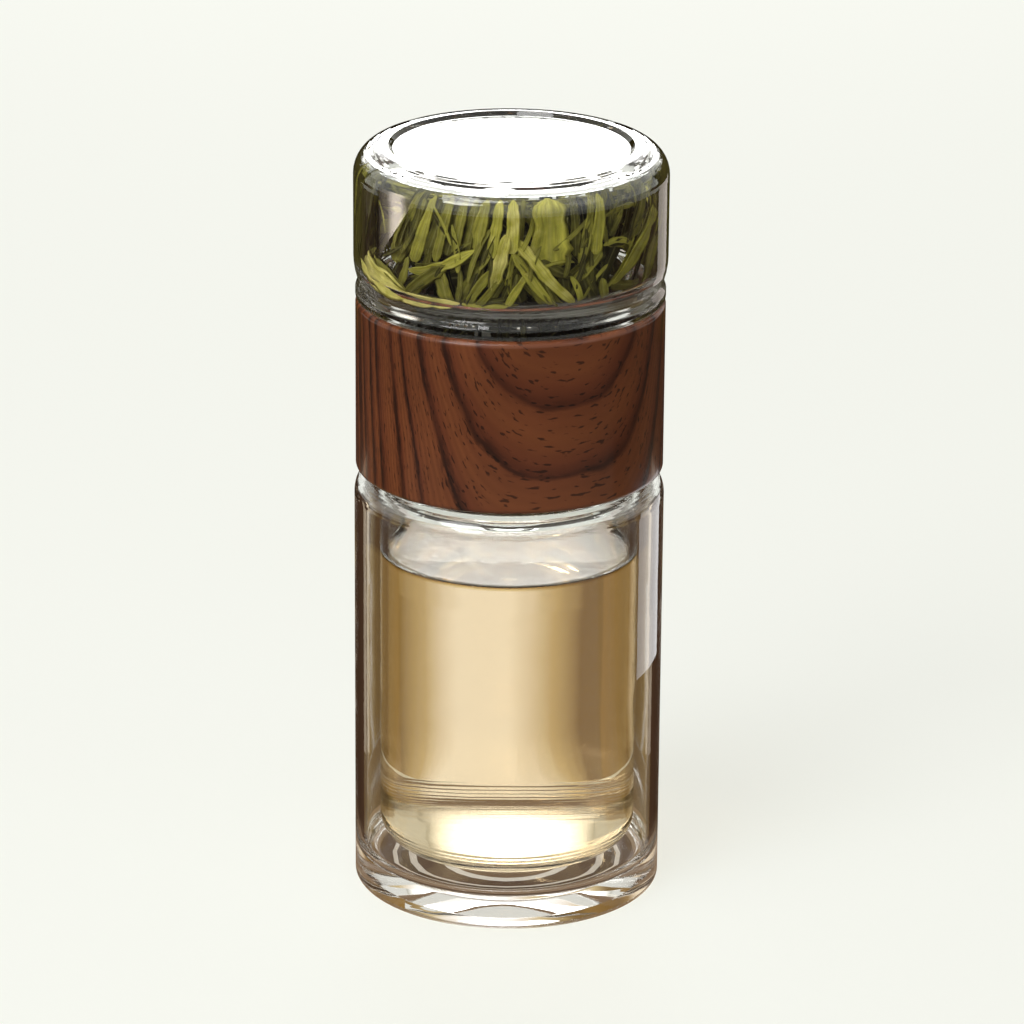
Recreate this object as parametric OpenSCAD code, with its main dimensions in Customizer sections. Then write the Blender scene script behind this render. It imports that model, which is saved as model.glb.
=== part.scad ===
// Double-wall glass tea bottle with a screw-on infuser collar and a glass tea chamber.
// Millimetres, +Z up. The origin is the middle of the foot that the bottle stands on.
// Every piece but the strainer disc is turned about Z from a list of profile corners.

/* [Bottle] */
// Outside diameter of the outer glass, which the collar and the chamber follow
bottle_d = 66; // [58:0.5:80]
// Height of the outer glass from the foot to the top of its shoulder
bottle_h = 93.7; // [75:0.1:130]
// Wall of the outer glass
outer_wall = 2; // [1.6:0.1:2.6]
// Outside radius of the shoulder
shoulder_r = 5.6; // [3.5:0.1:5.8]
// Thickness of the base, from the foot to the floor of the air space
base_t = 6.3; // [4:0.1:9]
// Radius of the base's outer edge
base_edge_r = 1.2; // [0.5:0.1:2.5]
// Radius of the air space's corner at the base
base_corner_r = 4; // [2:0.5:5]
// Width of the flat ring that the bottle stands on
foot_w = 8.8; // [4:0.2:14]
// Depth of the hollow inside that ring
punt_depth = 1.4; // [0.5:0.1:2.4]
// Width of the hollow's slope
punt_slope_w = 9; // [4:0.5:12]
// Radius that leads from the slope to the hollow's level middle
punt_bend_r = 10; // [2:1:20]

/* [Inner vessel] */
// Air space between the two glass walls
side_gap = 3.4; // [2:0.1:4.5]
// Air space under the inner vessel
bottom_gap = 3; // [1.5:0.1:6]
// Air space between the two shoulders
shoulder_gap = 2.2; // [1:0.1:5]
// Wall of the inner vessel
vessel_wall = 1.6; // [1.2:0.1:2]
// Thickness of the inner vessel's floor
vessel_floor_t = 2.2; // [1.5:0.1:4]
// Outside radius of the inner vessel's bottom corner
vessel_corner_r = 6; // [3:0.5:10]
// Outside radius of the inner vessel's shoulder
vessel_shoulder_r = 3; // [2.2:0.1:4]

/* [Necks] */
// Height of the bottle's neck above its shoulder
neck_h = 14; // [10:0.5:15]
// Wall of the bottle's neck outside its air space
neck_wall = 1.6; // [1.2:0.1:2]
// Air space inside the bottle's neck
neck_gap = 0.8; // [0.5:0.1:1.2]
// Height of the fused lip that joins the two walls
lip_h = 3; // [2:0.5:5]
// Rounding of both lips
lip_edge_r = 1; // [0.4:0.1:1.3]
// Rounding where a neck meets its shoulder
neck_root_r = 0.8; // [0.3:0.1:1.2]
// Room around a neck for the two threads
thread_room = 1.4; // [1:0.1:1.8]

/* [Collar] */
// How far the wood-grain sleeve stands inside the bottle's outline
collar_inset = 0.3; // [0:0.05:1]
// Height of the sleeve
collar_h = 37.2; // [34:0.1:46]
// Wall of the sleeve
sleeve_t = 1.2; // [0.8:0.1:1.8]
// Wall of the core round its two sockets
core_wall = 3.5; // [2:0.1:4.5]
// Rounding of the sleeve's outer edges
sleeve_edge_r = 1; // [0.3:0.1:1.5]
// Thickness of the sleeve's inward rim at the top
rim_t = 1.4; // [0.8:0.1:2.5]
// Thickness of the web that carries the strainer
web_t = 3; // [2:0.1:5]
// Bevel at the mouth of both sockets
socket_bevel = 0.6; // [0.2:0.1:1]

/* [Strainer] */
// Gap between the strainer's cup and the edge of the bottle's mouth
cup_gap = 1.5; // [0.6:0.1:4]
// Depth of the cup below its flange
cup_depth = 4.2; // [2:0.1:8]
// Width of the flange outside the cup
flange_w = 3.5; // [2:0.1:4]
// Sheet that the strainer's frame is pressed from
frame_t = 0.5; // [0.3:0.1:0.8]
// Width of the inward lip that the disc is welded to
frame_lip_w = 2; // [1.2:0.1:3]
// Sheet that the perforated disc is cut from
disc_t = 0.4; // [0.2:0.1:0.8]
// Diameter of a hole in the disc
hole_d = 1.2; // [0.8:0.1:1.6]
// Spacing of the holes
hole_pitch = 2.2; // [1.9:0.1:3]

/* [Seals] */
// Thickness of both silicone rings under load
seal_t = 2; // [1:0.1:3]
// Height of the upper ring's skirt inside the chamber's neck
skirt_h = 3; // [1.5:0.1:6]
// Thickness of that skirt
skirt_t = 1.3; // [0.8:0.1:1.8]

/* [Tea chamber] */
// How far the chamber stands outside the bottle's outline
chamber_overhang = 0.1; // [0:0.05:1]
// Height of the chamber above the collar
chamber_h = 33; // [26:0.5:60]
// Wall of the chamber
chamber_wall = 2.3; // [1.6:0.1:3]
// Thickness of the chamber's flat top
chamber_top_t = 3; // [2.4:0.1:6]
// Outside radius of the chamber's top edge
top_edge_r = 6.2; // [3:0.1:7]
// Inside radius of the chamber's top and bottom corners
chamber_corner_r = 3; // [1.5:0.1:4]
// Width of the flat ring on the chamber's top
ring_w = 1.1; // [0.6:0.1:6]
// Depth of the shallow dish inside that ring
dish_depth = 0.6; // [0.2:0.1:1.2]
// Height of the bead that stands on the collar
bead_h = 3.3; // [2.6:0.1:5]
// Depth of the groove between the bead and the chamber's wall
groove_depth = 0.8; // [0.3:0.1:1.2]
// Rounding of the bead's edges
bead_edge_r = 0.9; // [0.4:0.1:1.2]
// Height over which the chamber's wall leans in to the groove
lean_h = 3.7; // [2.5:0.1:6]
// Radius with which the wall starts to lean
lean_r = 15; // [4:0.5:20]
// Glass between the groove and the inside of the chamber
chamber_floor_t = 2.6; // [2:0.1:5]
// Fall of the chamber's floor to its neck
floor_fall = 0.9; // [0.3:0.1:1.5]
// Wall of the chamber's neck
chamber_neck_wall = 3; // [2:0.1:3.4]

/* [Fits] */
// Gap between faces that move past each other
running_gap = 0.3; // [0.2:0.05:0.5]
// Gap between pieces that are pushed or glued together
seat_gap = 0.1; // [0.05:0.05:0.2]

/* [Hidden] */
$fn = 96;

// Straight steps that a rounded corner is drawn with
corner_steps = 8;
// Small rounding of moulded edges
soft_edge = 0.4;
// Share of a side that its fillets may take up
side_use = 0.98;

// Radii, from the bottle's outline inwards
bottle_r = bottle_d / 2;
vessel_r = bottle_r - outer_wall - side_gap;
punt_r = bottle_r - base_edge_r - foot_w;
collar_r = bottle_r - collar_inset;
core_r = collar_r - sleeve_t - seat_gap;
socket_r = core_r - core_wall;
neck_r = socket_r - thread_room;
vessel_neck_r = neck_r - neck_wall - neck_gap;
mouth_r = vessel_neck_r - vessel_wall;
cup_r = mouth_r - cup_gap;
disc_r = cup_r - frame_t - seat_gap;
chamber_r = bottle_r + chamber_overhang;
dish_r = chamber_r - top_edge_r - ring_w;
bore_r = neck_r - chamber_neck_wall;
skirt_r = bore_r - running_gap;
seal_r = socket_r - running_gap;

// Heights, from the foot up
air_floor_z = base_t;
vessel_z = air_floor_z + bottom_gap;
vessel_top_z = bottle_h - outer_wall - shoulder_gap;
lip_z = bottle_h + neck_h;
weld_z = lip_z - lip_h;
collar_z = bottle_h + running_gap;
collar_top_z = collar_z + collar_h;
web_z = lip_z + seal_t;
web_top_z = web_z + web_t;
flange_z = web_top_z - frame_t;
cup_z = flange_z - cup_depth;
disc_z = cup_z + frame_t;
chamber_lip_z = web_top_z + seal_t;
bead_z = collar_top_z + running_gap;
groove_z = bead_z + bead_h;
chamber_floor_z = groove_z + chamber_floor_t;
chamber_top_z = bead_z + chamber_h;
ceiling_z = chamber_top_z - chamber_top_t;

function unit(v) = v / norm(v);

// Half of the angle at corner b between neighbours a and c
function half_angle(a, b, c) = acos(unit(a - b) * unit(c - b)) / 2;

// Points of the arc of radius r that rounds corner b between neighbours a and c
function corner_arc(a, b, c, r) =
    let (to_a = unit(a - b), to_c = unit(c - b),
         half = half_angle(a, b, c),
         centre = b + unit(to_a + to_c) * r / sin(half),
         first = b + to_a * r / tan(half) - centre,
         last = b + to_c * r / tan(half) - centre,
         start = atan2(first.y, first.x),
         turn = atan2(first.x * last.y - first.y * last.x, first * last))
    [for (i = [0 : corner_steps]) let (angle = start + turn * i / corner_steps)
        centre + r * [cos(angle), sin(angle)]];

// An outline from corners [radius, height, fillet], where a fillet of 0 is a sharp corner.
// A side that is too short for the fillets at its two ends shrinks them until they fit.
function rounded(corners) =
    let (n = len(corners),
         at = [for (c = corners) [c.x, c.y]],
         before = [for (i = [0 : n - 1]) (i + n - 1) % n],
         after = [for (i = [0 : n - 1]) (i + 1) % n],
         side = [for (i = [0 : n - 1]) norm(at[after[i]] - at[i])],
         used = [for (i = [0 : n - 1])
             max(0, corners[i].z) / tan(half_angle(at[before[i]], at[i], at[after[i]]))],
         room = [for (i = [0 : n - 1]) side_use * side[i] / (used[i] + used[after[i]])])
    [for (i = [0 : n - 1]) each corners[i].z > 0
        ? corner_arc(at[before[i]], at[i], at[after[i]],
                     corners[i].z * min(1, room[before[i]], room[i]))
        : [at[i]]];

// A solid turned about Z from profile corners
module turned(corners) {
    rotate_extrude() polygon(rounded(corners));
}

// Outer wall with the thick base, shoulder, neck and the fused lip over the inner vessel
module outer_glass() {
    color("lightcyan", 0.35) turned([
        [0, punt_depth, 0],
        [punt_r - punt_slope_w, punt_depth, punt_bend_r],
        [punt_r, 0, soft_edge],
        [bottle_r, 0, base_edge_r],
        [bottle_r, bottle_h, shoulder_r],
        [neck_r, bottle_h, neck_root_r],
        [neck_r, lip_z, lip_edge_r],
        [mouth_r, lip_z, lip_edge_r],
        [mouth_r, weld_z, 0],
        [neck_r - neck_wall, weld_z, 0],
        [neck_r - neck_wall, bottle_h - outer_wall, soft_edge],
        [bottle_r - outer_wall, bottle_h - outer_wall, shoulder_r - outer_wall],
        [bottle_r - outer_wall, air_floor_z, base_corner_r],
        [0, air_floor_z, 0]
    ]);
}

// Inner vessel that holds the tea, hung in the outer wall from the fused lip
module inner_glass() {
    color("azure", 0.35) turned([
        [0, vessel_z, 0],
        [vessel_r, vessel_z, vessel_corner_r],
        [vessel_r, vessel_top_z, vessel_shoulder_r],
        [vessel_neck_r, vessel_top_z, soft_edge],
        [vessel_neck_r, weld_z, 0],
        [mouth_r, weld_z, 0],
        [mouth_r, vessel_top_z - vessel_wall, soft_edge + vessel_wall],
        [vessel_r - vessel_wall, vessel_top_z - vessel_wall, vessel_shoulder_r - vessel_wall],
        [vessel_r - vessel_wall, vessel_z + vessel_floor_t, vessel_corner_r - vessel_wall],
        [0, vessel_z + vessel_floor_t, 0]
    ]);
}

// Flat silicone ring between the bottle's lip and the collar's web
module lower_seal() {
    color("gainsboro") turned([
        [mouth_r, lip_z, soft_edge],
        [seal_r, lip_z, soft_edge],
        [seal_r, web_z, soft_edge],
        [mouth_r, web_z, soft_edge]
    ]);
}

// Printed wood-grain sleeve, turned in at the top over the end of the core
module collar_sleeve() {
    color("saddlebrown") turned([
        [collar_r - sleeve_t, collar_z, 0],
        [collar_r, collar_z, sleeve_edge_r],
        [collar_r, collar_top_z, sleeve_edge_r],
        [socket_r + socket_bevel, collar_top_z, soft_edge],
        [socket_r + socket_bevel, collar_top_z - rim_t, 0],
        [collar_r - sleeve_t, collar_top_z - rim_t, 0]
    ]);
}

// Moulded connector with a socket for each neck and a web that seats the strainer
module collar_core() {
    core_top_z = collar_top_z - rim_t;
    seat_r = cup_r + flange_w + running_gap;
    color("sienna") turned([
        [socket_r + socket_bevel, collar_z, 0],
        [core_r, collar_z, 0],
        [core_r, core_top_z, 0],
        [socket_r + socket_bevel, core_top_z, 0],
        [socket_r, core_top_z - socket_bevel, 0],
        [socket_r, web_top_z, 0],
        [seat_r, web_top_z, 0],
        [seat_r, flange_z, 0],
        [cup_r + running_gap, flange_z, soft_edge],
        [cup_r + running_gap, web_z, soft_edge],
        [socket_r, web_z, 0],
        [socket_r, collar_z + socket_bevel, 0]
    ]);
}

// Pressed steel cup with an outward flange and an inward lip for the disc
module strainer_frame() {
    color("silver") turned([
        [cup_r - frame_lip_w, cup_z, 0],
        [cup_r, cup_z, frame_t],
        [cup_r, flange_z, 0],
        [cup_r + flange_w, flange_z, 0],
        [cup_r + flange_w, web_top_z, 0],
        [cup_r - frame_t, web_top_z, frame_t],
        [cup_r - frame_t, disc_z, 0],
        [cup_r - frame_lip_w, disc_z, 0]
    ]);
}

// Perforated disc with its holes on rings, six more on each ring than on the one inside it
module strainer_disc() {
    open_r = cup_r - frame_lip_w - hole_d;
    rings = floor(open_r / hole_pitch);
    color("gainsboro") difference() {
        translate([0, 0, disc_z]) cylinder(r = disc_r, h = disc_t);
        for (ring = [0 : rings], hole = [1 : max(1, 6 * ring)])
            rotate(60 * hole / max(1, ring))
                translate([ring * hole_pitch, 0, disc_z - disc_t])
                    cylinder(d = hole_d, h = 3 * disc_t, $fn = 24);
    }
}

// Silicone ring under the chamber's lip, with a skirt that keeps it in the chamber's neck
module upper_seal() {
    skirt_top_z = chamber_lip_z + skirt_h;
    color("gainsboro") turned([
        [skirt_r - skirt_t, web_top_z, soft_edge],
        [seal_r, web_top_z, soft_edge],
        [seal_r, chamber_lip_z, soft_edge],
        [skirt_r, chamber_lip_z, 0],
        [skirt_r, skirt_top_z, soft_edge],
        [skirt_r - skirt_t, skirt_top_z, soft_edge]
    ]);
}

// Upturned glass cup for the leaves, with a dished flat end, a bead and a neck
module tea_chamber() {
    color("lightcyan", 0.35) turned([
        [0, chamber_top_z - dish_depth, 0],
        [dish_r - dish_depth, chamber_top_z - dish_depth, soft_edge],
        [dish_r, chamber_top_z, soft_edge],
        [chamber_r, chamber_top_z, top_edge_r],
        [chamber_r, groove_z + lean_h, lean_r],
        [collar_r - groove_depth, groove_z, soft_edge],
        [collar_r, groove_z - bead_edge_r, bead_edge_r],
        [collar_r, bead_z, bead_edge_r],
        [neck_r, bead_z, neck_root_r],
        [neck_r, chamber_lip_z, lip_edge_r],
        [bore_r, chamber_lip_z, lip_edge_r],
        [bore_r, chamber_floor_z - floor_fall, chamber_corner_r],
        [chamber_r - chamber_wall, chamber_floor_z, chamber_corner_r],
        [chamber_r - chamber_wall, ceiling_z, chamber_corner_r],
        [0, ceiling_z, 0]
    ]);
}

outer_glass();
inner_glass();
lower_seal();
collar_sleeve();
collar_core();
strainer_frame();
strainer_disc();
upper_seal();
tea_chamber();
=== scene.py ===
import math
import random
from functools import partial

import bpy
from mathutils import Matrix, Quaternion, Vector


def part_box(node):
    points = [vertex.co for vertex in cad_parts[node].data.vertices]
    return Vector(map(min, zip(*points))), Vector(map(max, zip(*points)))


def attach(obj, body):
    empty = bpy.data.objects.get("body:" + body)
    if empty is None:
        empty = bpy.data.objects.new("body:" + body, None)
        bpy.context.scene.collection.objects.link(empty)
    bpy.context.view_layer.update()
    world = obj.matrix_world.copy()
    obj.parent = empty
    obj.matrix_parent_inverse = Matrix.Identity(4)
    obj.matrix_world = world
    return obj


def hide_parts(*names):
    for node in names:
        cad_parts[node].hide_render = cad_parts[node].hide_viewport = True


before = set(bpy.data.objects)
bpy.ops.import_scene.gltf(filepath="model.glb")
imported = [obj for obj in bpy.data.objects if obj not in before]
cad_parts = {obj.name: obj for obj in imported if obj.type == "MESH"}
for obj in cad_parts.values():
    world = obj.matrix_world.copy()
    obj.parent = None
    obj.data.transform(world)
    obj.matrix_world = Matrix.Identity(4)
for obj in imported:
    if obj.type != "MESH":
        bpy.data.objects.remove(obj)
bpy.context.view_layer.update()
mm = 0.001
scene = bpy.context.scene
scene.view_settings.view_transform = "Standard"
scene.cycles.max_bounces = 32  # light crosses many glass faces here
scene.cycles.transmission_bounces = 32
scene.cycles.glossy_bounces = 32
scene.cycles.transparent_max_bounces = 32
print("frame loaded, nodes:", len(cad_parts))


def linear(hexCode):
    # sRGB hex to the linear colour that sockets take
    parts = [int(hexCode[i:i + 2], 16) / 255 for i in (1, 3, 5)]
    return (*[c / 12.92 if c <= 0.04045 else ((c + 0.055) / 1.055) ** 2.4 for c in parts], 1.0)


def addNode(tree, kind, inputs=(), **settings):
    # a short kind means a shader node; inputs go by name or in order, and a node means its first output
    node = tree.nodes.new(kind if "Node" in kind else "ShaderNode" + kind)
    for name, value in settings.items():
        setattr(node, name, value)
    for key, value in inputs.items() if isinstance(inputs, dict) else enumerate(inputs):
        if isinstance(value, bpy.types.Node):
            tree.links.new(value.outputs[0], node.inputs[key])
        elif isinstance(value, bpy.types.NodeSocket):
            tree.links.new(value, node.inputs[key])
        else:
            node.inputs[key].default_value = value
    return node


def newMaterial(name):
    # an empty material, and addNode for its tree
    material = bpy.data.materials.new(name)
    material.use_nodes = True
    material.node_tree.nodes.clear()
    return material, partial(addNode, material.node_tree)


def fillRamp(node, stops):
    # colour stops of a ramp, given as position and hex
    ramp = node.color_ramp
    while len(ramp.elements) > 1:
        ramp.elements.remove(ramp.elements[-1])
    for i, (place, hexCode) in enumerate(stops):
        stop = ramp.elements[0] if i == 0 else ramp.elements.new(place)
        stop.position = place
        stop.color = linear(hexCode)


def nodeRadius(node):
    # least of the four sides, so that a smooth turned piece stays inside the faceted one
    low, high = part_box(node)
    return min(-low.x, -low.y, high.x, high.y) / mm


def nodeHeights(node):
    low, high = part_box(node)
    return low.z / mm, high.z / mm


# Turned pieces

turning = {"segments": 128, "arcSteps": 10, "filletRoom": 0.98, "hold": 0.2, "longest": 6.0}


def roundedOutline(corners):
    # corners are radius, height, fillet in mm; fillets shrink where a side is too short for them
    points = [Vector(c[:2]) for c in corners]
    count = len(points)
    sides = [points[(i + 1) % count] - points[i] for i in range(count)]
    halves = [(-sides[i - 1]).angle(sides[i]) / 2 for i in range(count)]
    used = [c[2] / math.tan(half) if c[2] > 0 else 0.0 for c, half in zip(corners, halves)]
    needs = [max(1e-9, used[i] + used[(i + 1) % count]) for i in range(count)]
    room = [turning["filletRoom"] * side.length / need for side, need in zip(sides, needs)]
    outline = []
    for i, half in enumerate(halves):
        radius = corners[i][2] * min(1.0, room[i - 1], room[i])
        if radius <= 0:
            outline.append(points[i])
            continue
        toLast = -sides[i - 1].normalized()
        toNext = sides[i].normalized()
        centre = points[i] + (toLast + toNext).normalized() * radius / math.sin(half)
        first = points[i] + toLast * radius / math.tan(half) - centre
        last = points[i] + toNext * radius / math.tan(half) - centre
        turn = math.atan2(first.x * last.y - first.y * last.x, first.dot(last))
        steps = max(3, round(turning["arcSteps"] * abs(turn) / (math.pi / 2)))
        start = math.atan2(first.y, first.x)
        for k in range(steps + 1):
            angle = start + turn * k / steps
            outline.append(centre + radius * Vector((math.cos(angle), math.sin(angle))))
    return outline


def heldRows(outline, threadRadius=None):
    # rows close to each end of a straight run keep smooth shading off it; a threaded wall gets fine rows
    rows = []
    for a, b in zip(outline, outline[1:]):
        rows.append(a)
        length = (b - a).length
        upright = abs(a.x - b.x) < 1e-6
        threaded = threadRadius and upright and abs(a.x - threadRadius) < 1e-3
        if length > 4 * turning["hold"]:
            inner = length - 2 * turning["hold"]
            parts = max(1, math.ceil(inner / (thread["step"] if threaded else turning["longest"])))
            for k in range(parts + 1):
                rows.append(a.lerp(b, (turning["hold"] + inner * k / parts) / length))
    rows.append(outline[-1])
    return rows


def ringRows(corners, threadRadius=None):
    # the same for an outline that closes on itself
    outline = roundedOutline(corners)
    return heldRows(outline + outline[:1], threadRadius)[:-1]


def turnedMesh(name, outlines, closed=False):
    # one mesh from outlines turned about Z; the right-hand side of an outline faces out
    vertices, faces = [], []
    count = turning["segments"]
    for outline in outlines:
        rings = []
        for r, z in outline:
            if r < 1e-6:
                rings.append([len(vertices)])
                vertices.append((0.0, 0.0, z * mm))
                continue
            rings.append(list(range(len(vertices), len(vertices) + count)))
            for k in range(count):
                angle = 2 * math.pi * k / count
                vertices.append((r * mm * math.cos(angle), r * mm * math.sin(angle), z * mm))
        pairs = list(zip(rings, rings[1:]))
        if closed:
            pairs.append((rings[-1], rings[0]))
        for low, high in pairs:
            for k in range(count):
                nextK = (k + 1) % count
                if len(low) == 1:
                    faces.append((low[0], high[nextK], high[k]))
                elif len(high) == 1:
                    faces.append((low[k], low[nextK], high[0]))
                else:
                    faces.append((low[k], low[nextK], high[nextK], high[k]))
    mesh = bpy.data.meshes.new(name)
    mesh.from_pydata(vertices, [], faces)
    mesh.polygons.foreach_set("use_smooth", [True] * len(faces))
    mesh.update()
    return mesh


def addPiece(name, mesh, material, body, replaced=()):
    piece = bpy.data.objects.new(name, mesh)
    scene.collection.objects.link(piece)
    if not mesh.materials:
        mesh.materials.append(material)
    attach(piece, body)
    if replaced:
        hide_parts(*replaced)
    print("made", name, "faces:", len(mesh.polygons))


# Materials

noiseSpan = {"From Min": 0.3, "From Max": 0.7}  # where most of a noise lies


def endClear(add, surface, look):
    # lamps reach what is inside, and the colour deepens along the ray
    path = add("LightPath")
    clear = add("BsdfTransparent", {"Color": linear(look["shade"])})
    mixed = add("MixShader", [path.outputs["Is Shadow Ray"], surface, clear])
    depth = add("VolumeAbsorption", {"Color": linear(look["depthColour"]), "Density": look["depthPerMetre"]})
    add("OutputMaterial", {"Surface": mixed, "Volume": depth})


def glassMaterial(name, look):
    # borosilicate, blown in a mould: clear, faintly wavy, darker where the ray runs along the wall
    material, add = newMaterial(name)
    place = add("TexCoord").outputs["Object"]
    waves = add("TexNoise", {"Vector": place, "Scale": 1 / (look["waveSize"] * mm), "Detail": 1.0})
    bump = add("Bump", {
        "Height": waves, "Strength": look["waveStrength"], "Distance": look["waveHeight"] * mm})
    film = add("TexNoise", {"Vector": place, "Scale": 1 / (look["filmSize"] * mm), "Detail": 3.0})
    rough = add("MapRange", {
        "Value": film, "From Min": 0.45, "From Max": 0.75,
        "To Min": look["roughness"][0], "To Max": look["roughness"][1]})
    glass = add("BsdfPrincipled", {
        "Base Color": linear(look["tint"]), "Transmission Weight": 1.0, "IOR": 1.473,
        "Roughness": rough, "Normal": bump})
    endClear(add, glass, look)
    return material


glassLook = {
    "tint": "#FBFCFB", "shade": "#F4F4F0", "depthColour": "#B7A79A", "depthPerMetre": 5.0,
    "waveSize": 9.0, "waveStrength": 0.12, "waveHeight": 0.25, "filmSize": 14.0,
    "roughness": (0.0, 0.012)}
bottleGlassFinish = glassMaterial("clearBorosilicate", glassLook)
chamberGlassFinish = glassMaterial("clearBorosilicateChamber", glassLook)


def teaMaterial(look):
    # green tea liquor: water with a golden tint that deepens along the ray; where it climbs the wall its
    # colour is painted darker, as painted shade for the meniscus rim
    material, add = newMaterial("greenTeaLiquor")
    place = add("TexCoord").outputs["Object"]
    split = add("SeparateXYZ", [place])
    # painted shade: the colour turns dark gold where the surface climbs the wall, standing in for the shaded
    # meniscus rim
    climb = add("MapRange", {
        "Value": split.outputs["Z"], "From Min": look["edgeFrom"] * mm, "From Max": look["edgeTo"] * mm})
    colour = add("ValToRGB", [climb])
    fillRamp(colour, [(0.0, "#FFFFFF"), (0.5, "#D8C68E"), (1.0, "#8A6A28")])
    liquor = add("BsdfPrincipled", {
        "Base Color": colour, "Transmission Weight": 1.0, "IOR": 1.333, "Roughness": 0.0})
    endClear(add, liquor, look)
    return material


teaFinish = teaMaterial({
    "shade": "#F3E7C4", "depthColour": "#ECC860", "depthPerMetre": 14.0, "edgeFrom": 75.3, "edgeTo": 76.0})


woodGrain = {
    "centreTurn": 21.0,  # degrees to the right of the front where the arches stand
    "archCurve": 0.0425, "straighten": 30.0, "ringGap": 14.4, "ringShift": 3.4, "fineGap": 2.6,
    "warpSize": 17.0, "warp": 3.2, "lineWidth": (0.15, 1.1), "faintSize": 8.0, "patchSize": 26.0,
    "jags": (4.0, 1.1, 3.0), "pores": (2.4, 0.9, 1.0)}  # length, width and detail


def woodMaterial(look):
    # lacquered reddish-brown wood, cut so that the growth rings make nested arches
    material, add = newMaterial("lacqueredWoodGrain")
    radius = nodeRadius("collar_sleeve")
    top = nodeHeights("collar_sleeve")[1]
    coords = add("TexCoord")
    turned = add("Mapping", {
        "Vector": coords.outputs["Object"], "Rotation": (0, 0, math.radians(-look["centreTurn"])),
        "Scale": (1 / mm, 1 / mm, 1 / mm)})
    x, y, z = add("SeparateXYZ", [turned]).outputs
    front = add("Math", [y, -1.0], operation="MULTIPLY")
    angle = add("Math", [x, front], operation="ARCTAN2")
    turn = add("Math", [angle], operation="ABSOLUTE")
    arc = add("Math", [turn, radius], operation="MULTIPLY")  # mm from the arches
    fall = add("Math", [top, z], operation="SUBTRACT")
    # rings: fall / (1 + (arc / straighten)^2) + archCurve * arc^2
    lean = add("Math", [arc, look["straighten"]], operation="DIVIDE")
    leanSquare = add("Math", [lean, lean, 1.0], operation="MULTIPLY_ADD")
    straight = add("Math", [fall, leanSquare], operation="DIVIDE")
    arcSquare = add("Math", [arc, arc], operation="MULTIPLY")
    ring = add("Math", [arcSquare, look["archCurve"], straight], operation="MULTIPLY_ADD")
    stretched = add("Mapping", {"Vector": turned, "Scale": (1.0, 1.0, 0.6)})
    warp = add("TexNoise", {
        "Vector": stretched, "Scale": 1 / look["warpSize"], "Detail": 2.5, "Roughness": 0.55})
    warped = add("Math", [warp, 2 * look["warp"], ring], operation="MULTIPLY_ADD")
    shifted = add("Math", [warped, look["ringShift"]], operation="SUBTRACT")
    # years differ in width, more so away from the heart
    evenPlace = add("Math", [shifted, look["ringGap"]], operation="DIVIDE")
    years = add("TexNoise", {"W": evenPlace, "Scale": 0.9, "Detail": 1.0}, noise_dimensions="1D")
    yearShift = add("MapRange", {
        "Value": evenPlace, "From Min": 1.8, "From Max": 3.0, "To Min": 0.0, "To Max": 1.3})
    yearPlace = add("Math", [years, 0.5], operation="SUBTRACT")
    ringPlace = add("Math", [yearPlace, yearShift, evenPlace], operation="MULTIPLY_ADD")
    ringPart = add("Math", [ringPlace], operation="FRACT")
    rings = add("ValToRGB", [ringPart])
    fillRamp(rings, [
        (0.0, "#5E301F"), (0.06, "#7A4329"), (0.45, "#82492B"), (0.75, "#733D26"), (0.92, "#5E301F"),
        (1.0, "#5A2E1E")])
    # how fast the rings follow each other, so that a line keeps its width in mm
    slope = add("Math", [arc, 2 * look["archCurve"]], operation="MULTIPLY")
    slopeSquare = add("Math", [slope, slope, 1.0], operation="MULTIPLY_ADD")
    steep = add("Math", [slopeSquare], operation="SQRT")
    # noise drawn out along the rings: jagged edges of the lines, and pores as short dashes
    along = add("Math", [arc, 0.7, z], operation="MULTIPLY_ADD")
    streaks = []
    for length, width, detail in (look["jags"], look["pores"]):
        lengthwise = add("Math", [along, length], operation="DIVIDE")
        crosswise = add("Math", [ring, width], operation="DIVIDE")
        space = add("CombineXYZ", [lengthwise, crosswise, angle])
        streaks.append(add("TexNoise", {"Vector": space, "Scale": 1.0, "Detail": detail}))
    jags, pores = streaks
    lineReach = add("MapRange", {
        "Value": jags, **noiseSpan, "To Min": look["lineWidth"][0], "To Max": look["lineWidth"][1]})
    nearLine = add("Math", [ringPlace, 0.5], operation="PINGPONG")
    perRing = add("Math", [look["ringGap"], steep], operation="DIVIDE")
    offLine = add("Math", [nearLine, perRing], operation="MULTIPLY")
    offShare = add("Math", [offLine, lineReach], operation="DIVIDE")
    line = add("MapRange", {
        "Value": offShare, "From Min": 0.2, "From Max": 1.7, "To Min": 0.85, "To Max": 0.0},
        interpolation_type="SMOOTHSTEP")
    # the arch next to the heart is the faintest, and the others come and go along their way
    boldness = add("MapRange", {
        "Value": ringPlace, "From Min": 1.3, "From Max": 1.8, "To Min": 0.5, "To Max": 1.0})
    faint = add("TexNoise", {"Vector": stretched, "Scale": 1 / look["faintSize"], "Detail": 2.0})
    lineShare = add("MapRange", {
        "Value": faint, "From Min": 0.35, "From Max": 0.6, "To Min": 0.35, "To Max": 1.0})
    for share in (boldness, line):
        lineShare = add("Math", [share, lineShare], operation="MULTIPLY")
    lined = add("Mix", {"Factor": lineShare, 6: rings, 7: linear("#2A1610")}, data_type="RGBA")
    # fine lines between the rings, deeper where the rings stand close
    finePlace = add("Math", [warped, look["fineGap"]], operation="DIVIDE")
    fineWave = add("Math", [finePlace, 0.5], operation="PINGPONG")
    fineDepth = add("MapRange", {
        "Value": steep, "From Min": 1.2, "From Max": 3.0, "To Min": 0.1, "To Max": 0.6})
    fineShade = add("Math", [fineWave, fineDepth], operation="MULTIPLY")
    fine = add("Math", [1.06, fineShade], operation="SUBTRACT")
    poreMask = add("MapRange", {
        "Value": pores, "From Min": 0.62, "From Max": 0.69, "To Min": 1.0, "To Max": 0.3})
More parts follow.
